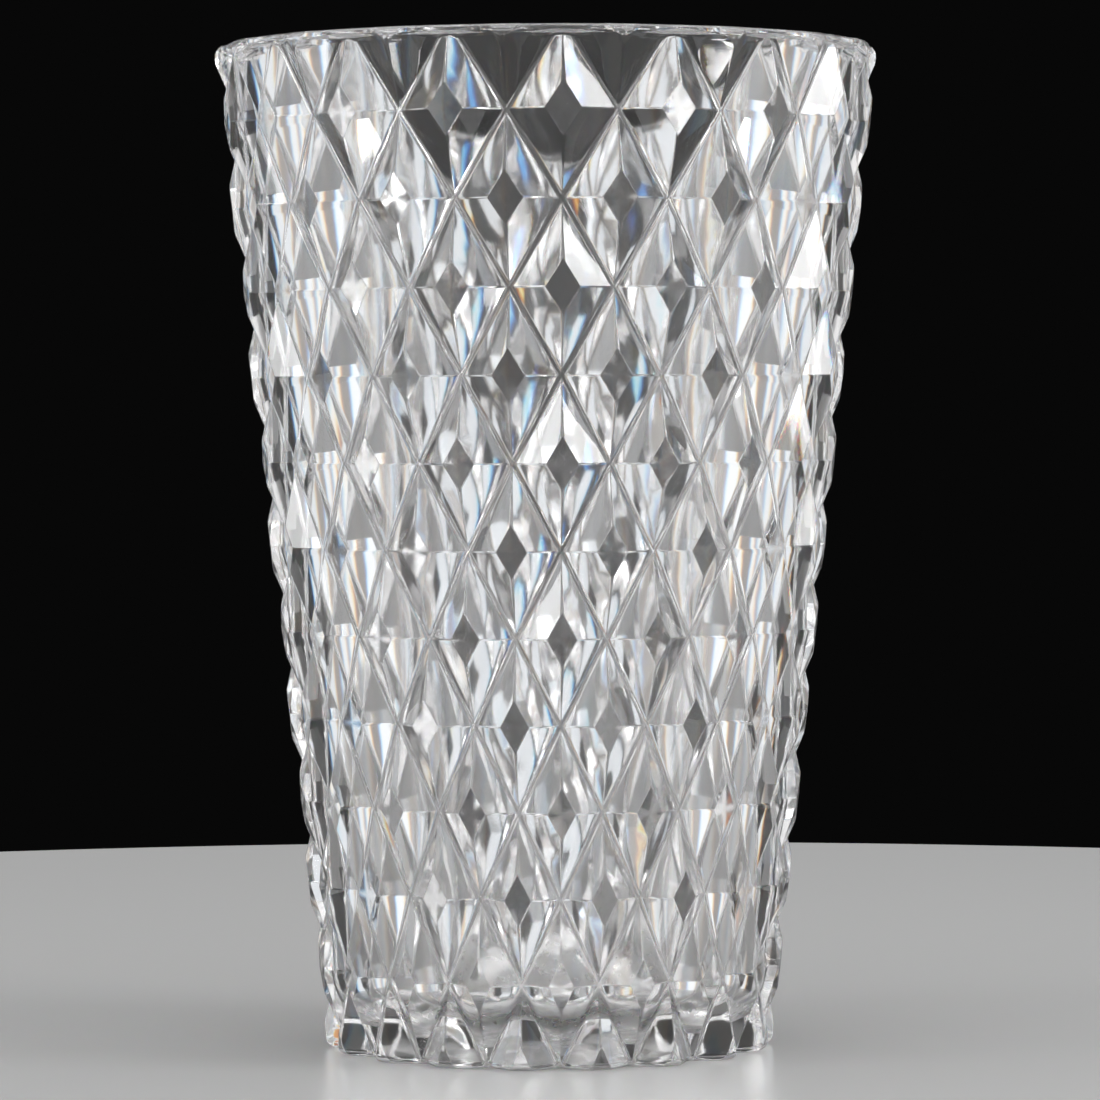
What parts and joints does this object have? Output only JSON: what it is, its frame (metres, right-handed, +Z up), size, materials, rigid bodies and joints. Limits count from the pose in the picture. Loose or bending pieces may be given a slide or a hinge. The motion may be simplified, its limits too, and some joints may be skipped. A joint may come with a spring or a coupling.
{
  "type": "cut crystal vase",
  "caption": "Tall flared vase of thick clear crystal, cut all over with a net of tall flat-topped diamonds, with a flat polished lip and a heavy solid foot.",
  "frame": {"origin": "centre of the foot, on the surface that the vase stands on", "axes": "+Z up along the vase's axis, from the foot to the mouth; a groove crossing of the foot and of the lip lies on the -Y side"},
  "size_m": [0.1654, 0.1632, 0.25],
  "materials": {
    "crystal": "clear lead crystal, cut and polished to a bright finish all over"
  },
  "bodies": {
    "root": {"vase_body": "crystal"}
  },
  "joints": []
}
